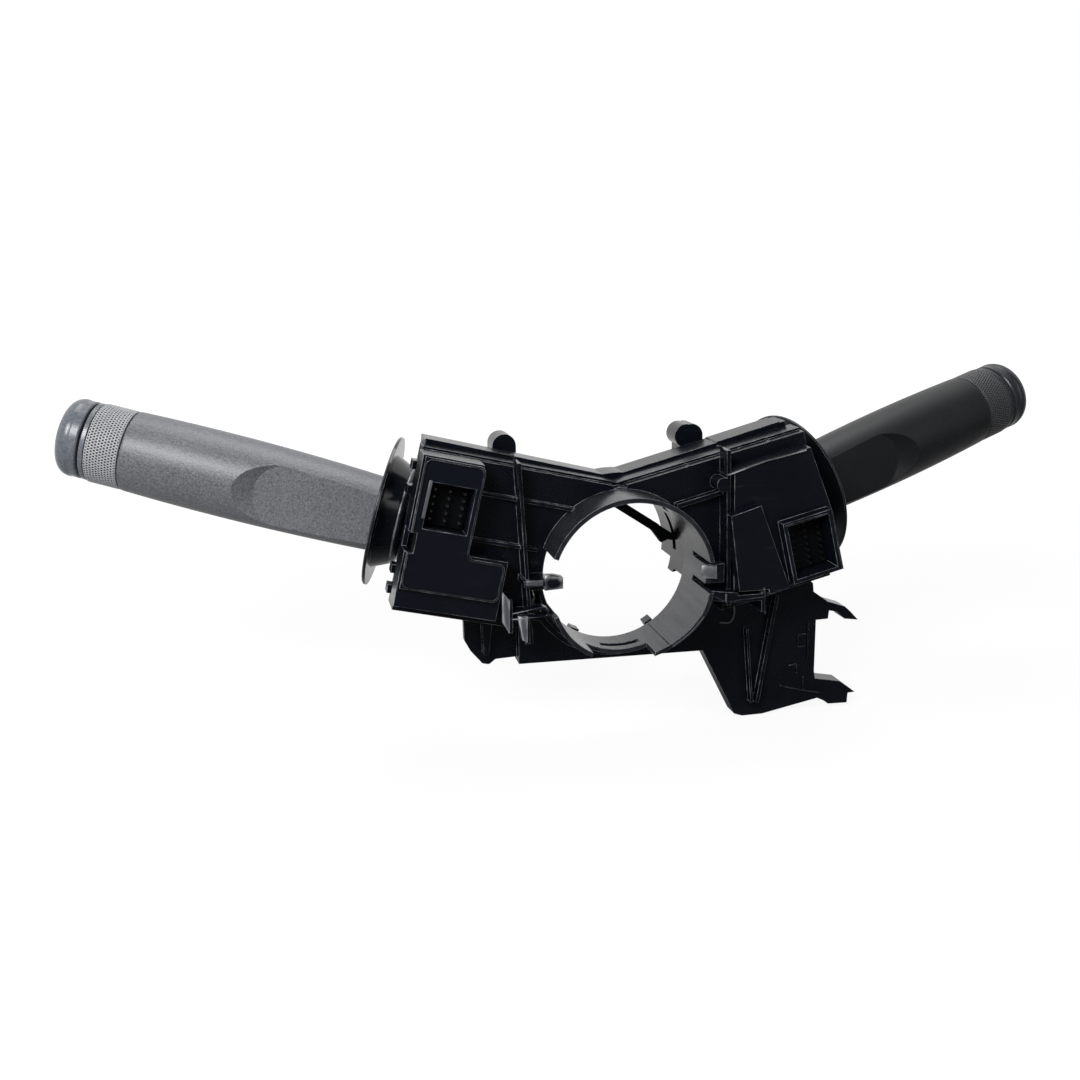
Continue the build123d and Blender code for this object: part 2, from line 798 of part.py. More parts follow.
# ---------------------------------------------------------------- yokes and pivots
with BuildPart() as yoke:
    with BuildSketch(stalk_side(-yoke_half)):
        with Locations((pivot_s, 0)):
            between((-yoke_back, -yoke_height), (yoke_front, yoke_height))
            between(
                (lever_offset - eye_radius - 0.6, -eye_half - moving_gap),
                (yoke_front + 1, eye_half + moving_gap),
                mode=Mode.SUBTRACT,
            )
            Circle(pin_radius + seat_clearance, mode=Mode.SUBTRACT)
    extrude(amount=2 * yoke_half)
    chamfer(
        yoke.edges().filter_by(Axis(pivot, dashward)).sort_by(Axis(pivot, outward))[:2],
        yoke_chamfer,
    )
    with BuildSketch(stalk_plan(yoke_height)):
        with Locations((pivot_s + lever_offset, 0)):
            Circle(lever_pin_radius + seat_clearance)
    extrude(amount=-2 * yoke_height, mode=Mode.SUBTRACT)
    with BuildSketch(stalk_plan(yoke_height)):
        with Locations((pivot_s - plunger_offset, 0)):
            Circle(plunger_radius + running_clearance)
    extrude(amount=-plunger_hole_depth, mode=Mode.SUBTRACT)
export_pair("yoke", yoke.part)

with BuildPart() as yoke_pin:
    with BuildSketch(stalk_side(-chamber_reach + wall + moving_gap)):
        with Locations((pivot_s, 0)):
            Circle(pin_radius)
    extrude(amount=yoke_pin_dash_end + chamber_reach - wall - moving_gap)
export_pair("yoke_pin", yoke_pin.part)

with BuildPart() as lever_pin:
    with BuildSketch(stalk_plan(-yoke_height)):
        with Locations((pivot_s + lever_offset, 0)):
            Circle(lever_pin_radius)
    extrude(amount=2 * yoke_height)
export_pair("lever_pin", lever_pin.part)

plunger_foot = yoke_height - plunger_hole_depth + detent_spring_height + 0.3
with BuildPart() as detent_plunger:
    with BuildSketch(stalk_plan(plunger_foot)):
        with Locations((pivot_s - plunger_offset, 0)):
            Circle(plunger_radius)
    extrude(amount=plunger_tip - plunger_foot)
    fillet(detent_plunger.faces().sort_by(Axis(pivot, upward))[-1].edges(), 1.6)
export_pair("detent_plunger", detent_plunger.part)


def coil(name, foot, axis, radius, height, pitch):
    """Write one helical spring standing on foot along axis, in both hands."""
    with BuildPart() as spring:
        with BuildLine() as turns:
            Helix(pitch=pitch, height=height, radius=radius, center=foot, direction=axis)
        with BuildSketch(Plane(turns.line @ 0, z_dir=turns.line % 0)):
            RegularPolygon(radius=spring_wire_radius, side_count=6)
        sweep(path=turns.line, is_frenet=True)
    export_pair(name, spring.part)


coil(
    "detent_spring",
    pivot - outward * plunger_offset
    + upward * (yoke_height - plunger_hole_depth + spring_wire_radius + 0.1),
    upward,
    plunger_radius - spring_wire_radius - 0.2,
    detent_spring_height - 2 * spring_wire_radius,
    1.1,
)

# ---------------------------------------------------------------- lever stems
with BuildPart() as lever_stem:
    with BuildSketch(stalk_plan(-eye_half)):
        with Locations((pivot_s + lever_offset, 0)):
            Circle(eye_radius)
        between((pivot_s + lever_offset, -eye_radius), (stem_start + 1, eye_radius))
        with Locations((pivot_s + lever_offset, 0)):
            Circle(lever_pin_radius + running_clearance, mode=Mode.SUBTRACT)
    extrude(amount=2 * eye_half)
    with BuildSketch(stalk_section(stem_start)):
        Circle(stem_radius)
    extrude(amount=shell_length - stem_start)
    with BuildSketch(stalk_section(shell_length)):
        Circle(journal_radius)
    extrude(amount=ring_end + moving_gap - shell_length)
    with BuildSketch(stalk_section(ring_end + moving_gap)):
        Circle(spigot_radius)
    extrude(amount=trim_length)
    with BuildSketch(stalk_section(button_bore_floor)):
        Circle(button_stem_radius + running_clearance)
    extrude(amount=40, mode=Mode.SUBTRACT)
export_pair("lever_stem", lever_stem.part)

# ---------------------------------------------------------------- dust shields
stalk_axis = Axis(flange_centre, outward)


def shield(radius, lift):
    """Flange of one stalk with the open cup behind it, set a little above the stem."""
    shield_axis = Axis(flange_centre + upward * lift, outward)
    with BuildPart() as solid:
        with BuildSketch(stalk_side(lift=lift)):
            outline(
                (0, 0),
                (0, radius - flange_edge),
                (-flange_edge, radius),
                (-flange_thickness, radius),
                (-flange_thickness, boss_radius),
                (-boss_length, boss_tip_radius),
                (-boss_length, boss_tip_radius - shell_wall),
                (-shield_floor, boss_radius - shell_wall - 0.8),
                (-shield_floor, 0),
            )
        revolve(axis=shield_axis)
        with BuildSketch(stalk_section(0)):
            Circle(stem_radius + seat_clearance)
        extrude(amount=-boss_length, mode=Mode.SUBTRACT)
    return solid.part


export("light_dust_shield", shield(light_flange_radius, light_flange_lift))
with BuildPart() as wiper_dust_shield:
    mirror(shield(wiper_flange_radius, wiper_flange_lift), about=Plane.YZ)
export("wiper_dust_shield", wiper_dust_shield.part)

# ---------------------------------------------------------------- stalk shells
with BuildPart() as shell_space:
    with BuildSketch(stalk_side()):
        for start, end in ((3.0, scoop_length + 10), (scoop_length + 12, shell_length - 3.5)):
            between((start, 0), (end, shell_base_radius - shell_wall))
    revolve(axis=stalk_axis)
    with BuildSketch(stalk_side(shell_waist_radius - scoop_depth - shell_wall)):
        between((0, -20), (scoop_length + 11, 20))
    extrude(amount=20, mode=Mode.SUBTRACT)

with BuildPart() as stalk_shell:
    with BuildSketch(stalk_side()):
        with BuildLine() as shell_profile:
            Line((0, 0), (0, shell_base_radius))
            ThreePointArc(
                (0, shell_base_radius),
                (shell_waist, shell_waist_radius),
                (shell_length, shell_end_radius),
            )
            Line((shell_length, shell_end_radius), (shell_length, 0))
            Line((shell_length, 0), (0, 0))
        make_face()
    revolve(axis=stalk_axis)
    fillet(stalk_shell.edges().group_by(Axis(flange_centre, outward))[-1], 0.8)
    for rise in (0, scoop_rise):
        half_width = scoop_half_width + rise * tan(radians(scoop_slope))
        with BuildSketch(stalk_side(shell_waist_radius - scoop_depth + rise)):
            between((-6, -half_width), (scoop_length - scoop_half_width, half_width))
            with Locations((scoop_length - scoop_half_width, 0)):
                Circle(half_width)
    loft(mode=Mode.SUBTRACT)
    add(shell_space.part, mode=Mode.SUBTRACT)
    with BuildSketch(stalk_section(0)):
        Circle(stem_radius + seat_clearance)
    extrude(amount=shell_length, mode=Mode.SUBTRACT)
export_pair("stalk_shell", stalk_shell.part)

# ---------------------------------------------------------------- rings and buttons
with BuildPart() as rotary_ring:
    with BuildSketch(stalk_side()):
        outline(
            (ring_start, journal_radius + running_clearance),
            (ring_start, ring_radius - 0.6),
            (ring_start + 0.6, ring_radius),
            (ring_end - 0.5, ring_radius - 0.1),
            (ring_end, ring_radius - 0.6),
            (ring_end, journal_radius + running_clearance),
        )
    revolve(axis=stalk_axis)
export_pair("rotary_ring", rotary_ring.part)

with BuildPart() as trim_ring:
    with BuildSketch(stalk_side()):
        between(
            (ring_end + moving_gap, spigot_radius + seat_clearance),
            (ring_end + moving_gap + trim_length, trim_radius),
        )
    revolve(axis=stalk_axis)
export_pair("trim_ring", trim_ring.part)

button_start = ring_end + moving_gap + trim_length + button_travel + moving_gap
button_end = button_start + button_length
with BuildPart() as end_button:
    with BuildSketch(stalk_side()):
        with BuildLine() as dome:
            Polyline(
                (button_end, 0), (button_start - button_stem_length, 0),
                (button_start - button_stem_length, button_stem_radius),
                (button_start, button_stem_radius), (button_start, button_radius - 0.5),
                (button_start + 0.5, button_radius), (button_start + 3.0, button_radius - 0.1),
            )
            ThreePointArc(
                (button_start + 3.0, button_radius - 0.1),
                (button_end - 1.4, button_radius - 1.0),
                (button_end, button_radius - 3.6),
            )
            Line((button_end, button_radius - 3.6), (button_end, 0))
        make_face()
    revolve(axis=stalk_axis)
export_pair("end_button", end_button.part)

coil(
    "button_spring",
    flange_centre + outward * (button_bore_floor + spring_wire_radius + 0.1),
    outward,
    button_stem_radius - spring_wire_radius - 0.3,
    button_spring_height,
    1.4,
)
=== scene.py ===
"""Finishes of a combination stalk switch: grained stalks, knurled rings, satin and gloss housing.

Lengths are metres. The origin is the centre of the column collar, +Y runs along the
column towards the steering wheel, +Z is up, and the light stalk is on +X.
"""
import json
import math

import bmesh
import bpy
import numpy as np
from mathutils import Matrix, Vector


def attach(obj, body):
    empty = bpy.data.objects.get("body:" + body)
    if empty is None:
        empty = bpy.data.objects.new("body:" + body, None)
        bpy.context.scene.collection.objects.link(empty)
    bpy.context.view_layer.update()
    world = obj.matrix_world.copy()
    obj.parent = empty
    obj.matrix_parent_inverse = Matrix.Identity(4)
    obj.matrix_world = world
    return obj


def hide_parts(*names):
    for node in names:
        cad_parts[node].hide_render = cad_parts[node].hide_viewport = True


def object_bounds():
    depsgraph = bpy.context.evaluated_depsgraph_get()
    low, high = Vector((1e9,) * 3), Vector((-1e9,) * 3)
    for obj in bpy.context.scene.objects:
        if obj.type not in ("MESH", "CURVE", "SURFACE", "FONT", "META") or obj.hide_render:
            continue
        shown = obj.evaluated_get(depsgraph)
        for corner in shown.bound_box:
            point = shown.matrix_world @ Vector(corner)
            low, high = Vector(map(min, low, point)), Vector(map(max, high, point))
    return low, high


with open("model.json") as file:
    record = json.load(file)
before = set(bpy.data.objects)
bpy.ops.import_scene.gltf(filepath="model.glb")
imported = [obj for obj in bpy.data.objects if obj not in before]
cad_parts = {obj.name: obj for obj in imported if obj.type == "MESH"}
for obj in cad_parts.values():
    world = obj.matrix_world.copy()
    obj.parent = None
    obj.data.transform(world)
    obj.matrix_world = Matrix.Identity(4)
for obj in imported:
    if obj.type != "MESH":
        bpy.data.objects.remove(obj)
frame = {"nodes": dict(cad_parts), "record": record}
cad_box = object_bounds()
bodies = frame["record"]["behaviour"]["bodies"]
mm = 0.001


def body_of(node):
    """Name of the CAD body that carries a node."""
    return next(body for body, nodes in bodies.items() if node in nodes)


def unit(vector):
    """The vector at length 1."""
    return vector / np.linalg.norm(vector)



# ---------------------------------------------------------------- directions of the stalks
stalk_rise = math.radians(15.1)
stalk_yaw = math.radians(14.5)
flange_centre = np.array((83.0, 35.5, 19.1)) * mm
outward = np.array((
    math.cos(stalk_rise) * math.cos(stalk_yaw),
    math.cos(stalk_rise) * math.sin(stalk_yaw),
    math.sin(stalk_rise),
))
upward = unit(np.array((0.0, 0.0, 1.0)) - outward * outward[2])
dashward = np.cross(outward, upward)
wing_rise = math.radians(13.5)

# ---------------------------------------------------------------- shapes on a grid


def sheet_mesh(name, points, ring_u=False, ring_v=False, mirrored=False):
    """Mesh of a grid of points, rows along u and columns along v; ring_u and ring_v join
    the last row or column to the first. mirrored puts it on the wiper side and turns its
    faces back outwards."""
    rows, columns = points.shape[:2]
    corners = points.reshape(-1, 3).copy()
    if mirrored:
        corners[:, 0] *= -1
    u = np.arange(rows if ring_u else rows - 1)
    v = np.arange(columns if ring_v else columns - 1)
    u, v = (a.ravel() for a in np.meshgrid(u, v, indexing="ij"))
    u_next, v_next = (u + 1) % rows, (v + 1) % columns
    faces = np.stack(
        (u * columns + v, u_next * columns + v, u_next * columns + v_next, u * columns + v_next),
        axis=1,
    )
    if mirrored:
        faces = faces[:, ::-1]
    mesh = bpy.data.meshes.new(name)
    mesh.vertices.add(len(corners))
    mesh.vertices.foreach_set("co", corners.astype(np.float32).ravel())
    mesh.loops.add(faces.size)
    mesh.loops.foreach_set("vertex_index", faces.astype(np.int32).ravel())
    mesh.polygons.add(len(faces))
    mesh.polygons.foreach_set("loop_start", np.arange(0, faces.size, 4, dtype=np.int32))
    mesh.update(calc_edges=True)
    mesh.validate()
    piece = bpy.data.objects.new(name, mesh)
    bpy.context.scene.collection.objects.link(piece)
    return piece


def smooth(piece):
    """Rounded shading over the whole piece."""
    piece.data.polygons.foreach_set("use_smooth", np.ones(len(piece.data.polygons), bool))


bar_tip = 0.25 * mm
bar_sides = 24
tip_place = 0.35
tip_size = 0.82
point_size = 0.001


def swept_bar(name, path, width, depth, across):
    """Bar with rounded corners carried along a path. The section is a superellipse,
    |2a/width|^4 + |2b/depth|^4 = 1, where a lies along the sideways direction of the path
    and b along across; the two ends shrink to a point over bar_tip."""
    across = unit(np.asarray(across, float))
    start = path[0] - unit(path[1] - path[0]) * bar_tip
    end = path[-1] + unit(path[-1] - path[-2]) * bar_tip
    stations = np.vstack((start[None], path[:1], path, path[-1:], end[None]))
    size = np.array([point_size, tip_size] + [1.0] * len(path) + [tip_size, point_size])
    stations[1] = start + (path[0] - start) * tip_place
    stations[-2] = end + (path[-1] - end) * tip_place
    along = np.gradient(stations, axis=0)
    side = np.cross(along, across)
    side /= np.maximum(np.linalg.norm(side, axis=1, keepdims=True), 1e-12)
    turn = np.linspace(0, 2 * math.pi, bar_sides, endpoint=False)
    a = np.sign(np.cos(turn)) * np.abs(np.cos(turn)) ** 0.5 * width / 2
    b = np.sign(np.sin(turn)) * np.abs(np.sin(turn)) ** 0.5 * depth / 2
    grid = (
        stations[:, None, :]
        + (size[:, None] * a[None])[..., None] * side[:, None, :]
        + (size[:, None] * b[None])[..., None] * across
    )
    piece = sheet_mesh(name, grid, ring_v=True)
    outward_faces(piece)
    return piece


def rounded_route(points, bend):
    """Route whose corners are rounded: each corner P becomes the curve
    (1 - t)^2 A + 2t(1 - t) P + t^2 B, with A and B on its two runs, bend away from P or
    0.45 of the run if that is less."""
    runs = np.diff(points, axis=0)
    length = np.linalg.norm(runs, axis=1, keepdims=True)
    near = np.minimum(bend, 0.45 * length)
    step = runs / length * near
    corner = points[1:-1][:, None]
    before, after = corner - step[:-1][:, None], corner + step[1:][:, None]
    t = np.linspace(0, 1, 5)[None, :, None]
    curve = (1 - t) ** 2 * before + 2 * t * (1 - t) * corner + t ** 2 * after
    return np.vstack((points[:1], curve.reshape(-1, 3), points[-1:]))


def outward_faces(piece, rounded=True):
    """Close the open ends of a piece and turn every face outwards."""
    shape = bmesh.new()
    shape.from_mesh(piece.data)
    bmesh.ops.holes_fill(shape, edges=shape.edges, sides=0)
    bmesh.ops.recalc_face_normals(shape, faces=shape.faces)
    shape.to_mesh(piece.data)
    shape.free()
    if rounded:
        smooth(piece)


# ---------------------------------------------------------------- node groups


def group(name, inputs, outputs):
    """Empty shader group with named sockets and their default values."""
    tree = bpy.data.node_groups.new(name, "ShaderNodeTree")
    for label, kind, value in inputs:
        socket = tree.interface.new_socket(label, in_out="INPUT", socket_type=kind)
        socket.default_value = value
    for label, kind in outputs:
        tree.interface.new_socket(label, in_out="OUTPUT", socket_type=kind)
    return tree, tree.nodes.new("NodeGroupInput"), tree.nodes.new("NodeGroupOutput")


def math_node(tree, operation, first, second=None, clamp=False):
    """One Math node; first and second are sockets or numbers."""
    node = tree.nodes.new("ShaderNodeMath")
    node.operation = operation
    node.use_clamp = clamp
    for index, value in enumerate((first, second)):
        if value is None:
            continue
        if isinstance(value, (int, float)):
            node.inputs[index].default_value = value
        else:
            tree.links.new(value, node.inputs[index])
    return node.outputs[0]


def blend_number(tree, factor, low, high):
    """low where factor is 0, high where it is 1; either may be a socket."""
    node = tree.nodes.new("ShaderNodeMix")
    tree.links.new(factor, node.inputs["Factor"])
    for label, value in (("A", low), ("B", high)):
        if isinstance(value, (int, float)):
            node.inputs[label].default_value = value
        else:
            tree.links.new(value, node.inputs[label])
    return node.outputs["Result"]


def remap(tree, value, low, high, new_low=0.0, new_high=1.0):
    """Map Range from low..high to new_low..new_high, held at both ends."""
    node = tree.nodes.new("ShaderNodeMapRange")
    tree.links.new(value, node.inputs["Value"])
    for label, number in (
        ("From Min", low), ("From Max", high), ("To Min", new_low), ("To Max", new_high),
    ):
        node.inputs[label].default_value = number
    return node.outputs["Result"]


def noise(tree, coordinates, scale, detail=2.0, roughness=0.5):
    """Noise texture on the given coordinates."""
    node = tree.nodes.new("ShaderNodeTexNoise")
    tree.links.new(coordinates, node.inputs["Vector"])
    if isinstance(scale, (int, float)):
        node.inputs["Scale"].default_value = scale
    else:
        tree.links.new(scale, node.inputs["Scale"])
    node.inputs["Detail"].default_value = detail
    node.inputs["Roughness"].default_value = roughness
    return node.outputs["Fac"]


def edge_wear_and_glint_group():
    """Rounded-over moulding edges: the angle between the true normal and one averaged
    over the edge radius gives the edge mask, broken up by a coarse noise. The colour laid
    along this mask is edge wear and a painted highlight."""
    bevel_samples = 6
    turn_seen, turn_full = 0.035, 0.22
    patch_scale = 190.0
    patch_low, patch_high, patch_least = 0.38, 0.62, 0.16
    tree, given, out = group(
        "edge_wear_and_glint",
        [("Radius", "NodeSocketFloat", 0.0004), ("Wear", "NodeSocketFloat", 0.6)],
        [("GlintAndWear", "NodeSocketFloat"), ("Normal", "NodeSocketVector")],
    )
    rounded = tree.nodes.new("ShaderNodeBevel")
    rounded.samples = bevel_samples
    tree.links.new(given.outputs["Radius"], rounded.inputs["Radius"])
    geometry = tree.nodes.new("ShaderNodeNewGeometry")
    facing = tree.nodes.new("ShaderNodeVectorMath")
    facing.operation = "DOT_PRODUCT"
    tree.links.new(rounded.outputs["Normal"], facing.inputs[0])
    tree.links.new(geometry.outputs["True Normal"], facing.inputs[1])
    turned = math_node(tree, "SUBTRACT", 1.0, facing.outputs["Value"])
    sharp = remap(tree, turned, turn_seen, turn_full)
    where = tree.nodes.new("ShaderNodeTexCoord")
    patches = noise(tree, where.outputs["Object"], patch_scale, 3.0, 0.6)
    broken = remap(tree, patches, patch_low, patch_high, patch_least, 1.0)
    worn_and_glinting = math_node(tree, "MULTIPLY", sharp, broken)
    glinting_worn_edge = math_node(tree, "MULTIPLY", worn_and_glinting, given.outputs["Wear"], clamp=True)
    tree.links.new(glinting_worn_edge, out.inputs["GlintAndWear"])
    tree.links.new(rounded.outputs["Normal"], out.inputs["Normal"])
    return tree


def mould_grain_group():
    """Spark-eroded mould grain: a fine noise for the grain itself, a broad one for the
    uneven sheen, and stretched threads of handling marks."""
    broad_scale = 42.0
    thread_scale, thread_turn = (60.0, 240.0, 900.0), (0.3, 0.5, 0.2)
    thread_low, thread_high = 0.62, 0.74
    tone_low, tone_high = 0.3, 0.7
    tree, given, out = group(
        "mould_grain",
        [
            ("Grain", "NodeSocketFloat", 2600.0),
            ("Marks", "NodeSocketFloat", 0.3),
            ("Speckle", "NodeSocketFloat", 0.5),
        ],
        [("Height", "NodeSocketFloat"), ("Tone", "NodeSocketFloat"), ("Rub", "NodeSocketFloat")],
    )
    where = tree.nodes.new("ShaderNodeTexCoord").outputs["Object"]
    fine = noise(tree, where, given.outputs["Grain"], 3.0, 0.55)
    broad = noise(tree, where, broad_scale, 4.0, 0.6)
    streak = tree.nodes.new("ShaderNodeMapping")
    streak.inputs["Scale"].default_value = thread_scale
    streak.inputs["Rotation"].default_value = thread_turn
    tree.links.new(where, streak.inputs["Vector"])
    threads = noise(tree, streak.outputs["Vector"], 1.0, 4.0, 0.7)
    thin = remap(tree, threads, thread_low, thread_high)
    rub = math_node(tree, "MULTIPLY", thin, given.outputs["Marks"])
    tone = blend_number(tree, given.outputs["Speckle"], broad, fine)
    tree.links.new(fine, out.inputs["Height"])
    tree.links.new(remap(tree, tone, tone_low, tone_high), out.inputs["Tone"])
    tree.links.new(rub, out.inputs["Rub"])
    return tree


def collar_lit_and_scuffed_group():
    """Painted light on the wall that the column slides in: the distance from the Y axis picks
    out the collar's inner wall and, in front of the web, its rim, which are painted lighter as
    if lit; a noise stretched along Y streaks it like scuffs."""
    wall_out, wall_in = 29.35 * mm, 29.15 * mm
    rim_out, rim_in, rim_share = 31.3 * mm, 31.0 * mm, 0.34
    web_back, web_front = 1.6 * mm, 1.0 * mm
    streak_scale = (260.0, 38.0, 260.0)
    streak_low, streak_high, streak_least = 0.30, 0.68, 0.30
    tree, _, out = group("collar_lit_and_scuffed", [], [("LitAndScuffed", "NodeSocketFloat")])
    where = tree.nodes.new("ShaderNodeTexCoord").outputs["Object"]
    parts = tree.nodes.new("ShaderNodeSeparateXYZ")
    tree.links.new(where, parts.inputs[0])
    across = math_node(tree, "MULTIPLY", parts.outputs["X"], parts.outputs["X"])
    height = math_node(tree, "MULTIPLY", parts.outputs["Z"], parts.outputs["Z"])
    radius = math_node(tree, "SQRT", math_node(tree, "ADD", across, height))
    wall = remap(tree, radius, wall_out, wall_in)
    in_front = remap(tree, parts.outputs["Y"], web_back, web_front)
    near_rim = remap(tree, radius, rim_out, rim_in, 0.0, rim_share)
    rim = math_node(tree, "MULTIPLY", near_rim, in_front)
    stretch = tree.nodes.new("ShaderNodeMapping")
    stretch.inputs["Scale"].default_value = streak_scale
    tree.links.new(where, stretch.inputs["Vector"])
    streaks = noise(tree, stretch.outputs["Vector"], 1.0, 4.0, 0.6)
    broken = remap(tree, streaks, streak_low, streak_high, streak_least, 1.0)
    both = math_node(tree, "MAXIMUM", wall, rim)
    tree.links.new(math_node(tree, "MULTIPLY", both, broken), out.inputs["LitAndScuffed"])
    return tree


edge_wear_and_glint = edge_wear_and_glint_group()
mould_grain = mould_grain_group()
collar_lit_and_scuffed = collar_lit_and_scuffed_group()


def place(tree, group_tree, **values):
    """Put one shared group into a material with its own values."""
    node = tree.nodes.new("ShaderNodeGroup")
    node.node_tree = group_tree
    for label, number in values.items():
        node.inputs[label].default_value = number
    return node


def mix_colour(tree, factor, first, second):
    """Blend two colours; first may be a socket."""
    node = tree.nodes.new("ShaderNodeMix")
    node.data_type = "RGBA"
    tree.links.new(factor, node.inputs["Factor"])
    colours = [s for s in node.inputs if s.type == "RGBA"]
    for socket, value in zip(colours, (first, second)):
        if isinstance(value, tuple):
            socket.default_value = (*value, 1.0)
        else:
            tree.links.new(value, socket)
    return next(s for s in node.outputs if s.type == "RGBA")


def moulded(
    name, deep, pale, glinting_worn_edge, roughness=0.4, specular=0.2, grain=2600.0, bump=0.05,
    edge_radius=0.0004, wear_and_glint=0.6, marks=0.3, metallic=0.0, bore_lit_and_scuffed=None, speckle=0.5,
):
    """Moulded plastic: deep to pale over the grain, and on rounded edges an edge colour that
    is edge wear and a painted highlight. The bore colour is what the wall of the column
    collar is painted to: painted light on the wall and rim, streaked like scuffs."""
    sheen_spread = 0.06
    grain_depth = 0.2 * mm
    material = bpy.data.materials.new(name)
    material.use_nodes = True
    tree = material.node_tree
    shader = tree.nodes["Principled BSDF"]
    grain_node = place(tree, mould_grain, Grain=grain, Marks=marks, Speckle=speckle)
    edge_node = place(tree, edge_wear_and_glint, Radius=edge_radius, Wear=wear_and_glint)
    body = mix_colour(tree, grain_node.outputs["Tone"], deep, pale)
    rubbed = mix_colour(tree, grain_node.outputs["Rub"], body, glinting_worn_edge)
    # the collar's wall and rim are painted lighter: painted light, streaked like scuffs
    if bore_lit_and_scuffed:
        lit_scuff = place(tree, collar_lit_and_scuffed)
        rubbed = mix_colour(tree, lit_scuff.outputs["LitAndScuffed"], rubbed, bore_lit_and_scuffed)
    # rounded edges take the edge colour: edge wear and a painted highlight
    colour = mix_colour(tree, edge_node.outputs["GlintAndWear"], rubbed, glinting_worn_edge)
    tree.links.new(colour, shader.inputs["Base Color"])
    gloss = remap(
        tree, grain_node.outputs["Tone"], 0.0, 1.0,
        roughness - sheen_spread, roughness + sheen_spread,
    )
    tree.links.new(gloss, shader.inputs["Roughness"])
    relief = tree.nodes.new("ShaderNodeBump")
    relief.inputs["Strength"].default_value = bump
    relief.inputs["Distance"].default_value = grain_depth
    tree.links.new(grain_node.outputs["Height"], relief.inputs["Height"])
    tree.links.new(edge_node.outputs["Normal"], relief.inputs["Normal"])
    tree.links.new(relief.outputs["Normal"], shader.inputs["Normal"])
    shader.inputs["Specular IOR Level"].default_value = specular
    shader.inputs["Metallic"].default_value = metallic
    return material


# the third colour of each finish goes on rounded edges; it is edge wear and a painted highlight
housing_satin = moulded(
    "housing_satin", (0.0014, 0.0023, 0.0046), (0.0034, 0.0048, 0.0080), (0.42, 0.43, 0.46),
    roughness=0.25, specular=0.42, bump=0.03, edge_radius=0.00034, wear_and_glint=0.85, marks=0.01,
    bore_lit_and_scuffed=(0.052, 0.054, 0.059),
)
case_gloss = moulded(
    "case_gloss", (0.0018, 0.0028, 0.0056), (0.0040, 0.0056, 0.0096), (0.52, 0.53, 0.56),
    roughness=0.22, specular=0.45, bump=0.02, edge_radius=0.00034, wear_and_glint=0.95, marks=0.02,
)
# housing plastic painted far lighter for faces turned towards the light: a painted lit copy of the
# housing finish
lit_face_paint = moulded(
    "lit_face_paint", (0.030, 0.032, 0.037), (0.105, 0.110, 0.120), (0.48, 0.49, 0.52),
    roughness=0.30, specular=0.45, bump=0.05, edge_radius=0.0003, wear_and_glint=0.8, marks=0.3,
)
# both stalk shells are one plastic: the wiper shell is painted lighter as lit and the light shell
# darker as shaded
stalk_painted_lit = moulded(
    "stalk_painted_lit", (0.060, 0.062, 0.069), (0.170, 0.175, 0.187), (0.26, 0.27, 0.285),
    roughness=0.40, specular=0.45, grain=1500.0, bump=0.42, edge_radius=0.0003, wear_and_glint=0.5,
    marks=0.25, speckle=0.85,
)
stalk_painted_shade = moulded(
    "stalk_painted_shade", (0.0060, 0.0066, 0.0078), (0.0125, 0.0134, 0.0152), (0.050, 0.052, 0.056),
    roughness=0.44, specular=0.30, grain=1500.0, bump=0.14, edge_radius=0.0003, wear_and_glint=0.4,
    marks=0.05,
)
# caps and trim rings are one plastic: the wiper side is painted lighter as lit and the light side
# darker as shaded
cap_painted_lit = moulded(
    "cap_painted_lit", (0.070, 0.080, 0.094), (0.165, 0.178, 0.198), (0.46, 0.48, 0.51),
    roughness=0.28, specular=0.45, grain=900.0, bump=0.06, edge_radius=0.0003, wear_and_glint=0.7, marks=0.30,
)
cap_painted_shade = moulded(
    "cap_painted_shade", (0.012, 0.014, 0.018), (0.024, 0.027, 0.031), (0.16, 0.17, 0.18),
    roughness=0.32, specular=0.35, grain=900.0, bump=0.05, edge_radius=0.0003, wear_and_glint=0.7, marks=0.12,
)
shield_gloss = moulded(
    "shield_gloss", (0.0030, 0.0040, 0.0062), (0.0085, 0.0105, 0.0140), (0.46, 0.47, 0.49),
    roughness=0.18, specular=0.50, bump=0.02, edge_radius=0.0004, wear_and_glint=1.0, marks=0.10,
)
# the light-side shield is a darker, duller copy of the wiper shield: painted shade
shield_painted_shade = moulded(
    "shield_painted_shade", (0.0022, 0.0030, 0.0048), (0.0044, 0.0056, 0.0078), (0.12, 0.125, 0.135),
    roughness=0.32, specular=0.30, bump=0.02, edge_radius=0.0004, wear_and_glint=0.6, marks=0.05,
)
inner_moulding = moulded(
    "inner_moulding", (0.0016, 0.0020, 0.0026), (0.0034, 0.0040, 0.0050), (0.08, 0.082, 0.088),
    roughness=0.42, specular=0.10, bump=0.04, wear_and_glint=0.4, marks=0.05,
)
acetal_white = moulded(
    "acetal_white", (0.50, 0.49, 0.45), (0.60, 0.59, 0.55), (0.70, 0.69, 0.66),
    roughness=0.40, specular=0.45, bump=0.04, wear_and_glint=0.3, marks=0.1,
)
pawl_black = moulded(
    "pawl_black", (0.0030, 0.0038, 0.0040), (0.0065, 0.0075, 0.0080), (0.05, 0.053, 0.055),
    roughness=0.5, specular=0.15, bump=0.08, wear_and_glint=0.5, marks=0.1,
)
board_lacquer = moulded(
    "board_lacquer", (0.0025, 0.0040, 0.0034), (0.0050, 0.0075, 0.0062), (0.03, 0.035, 0.03),
    roughness=0.35, specular=0.4, grain=900.0, bump=0.03, wear_and_glint=0.3, marks=0.2,
)
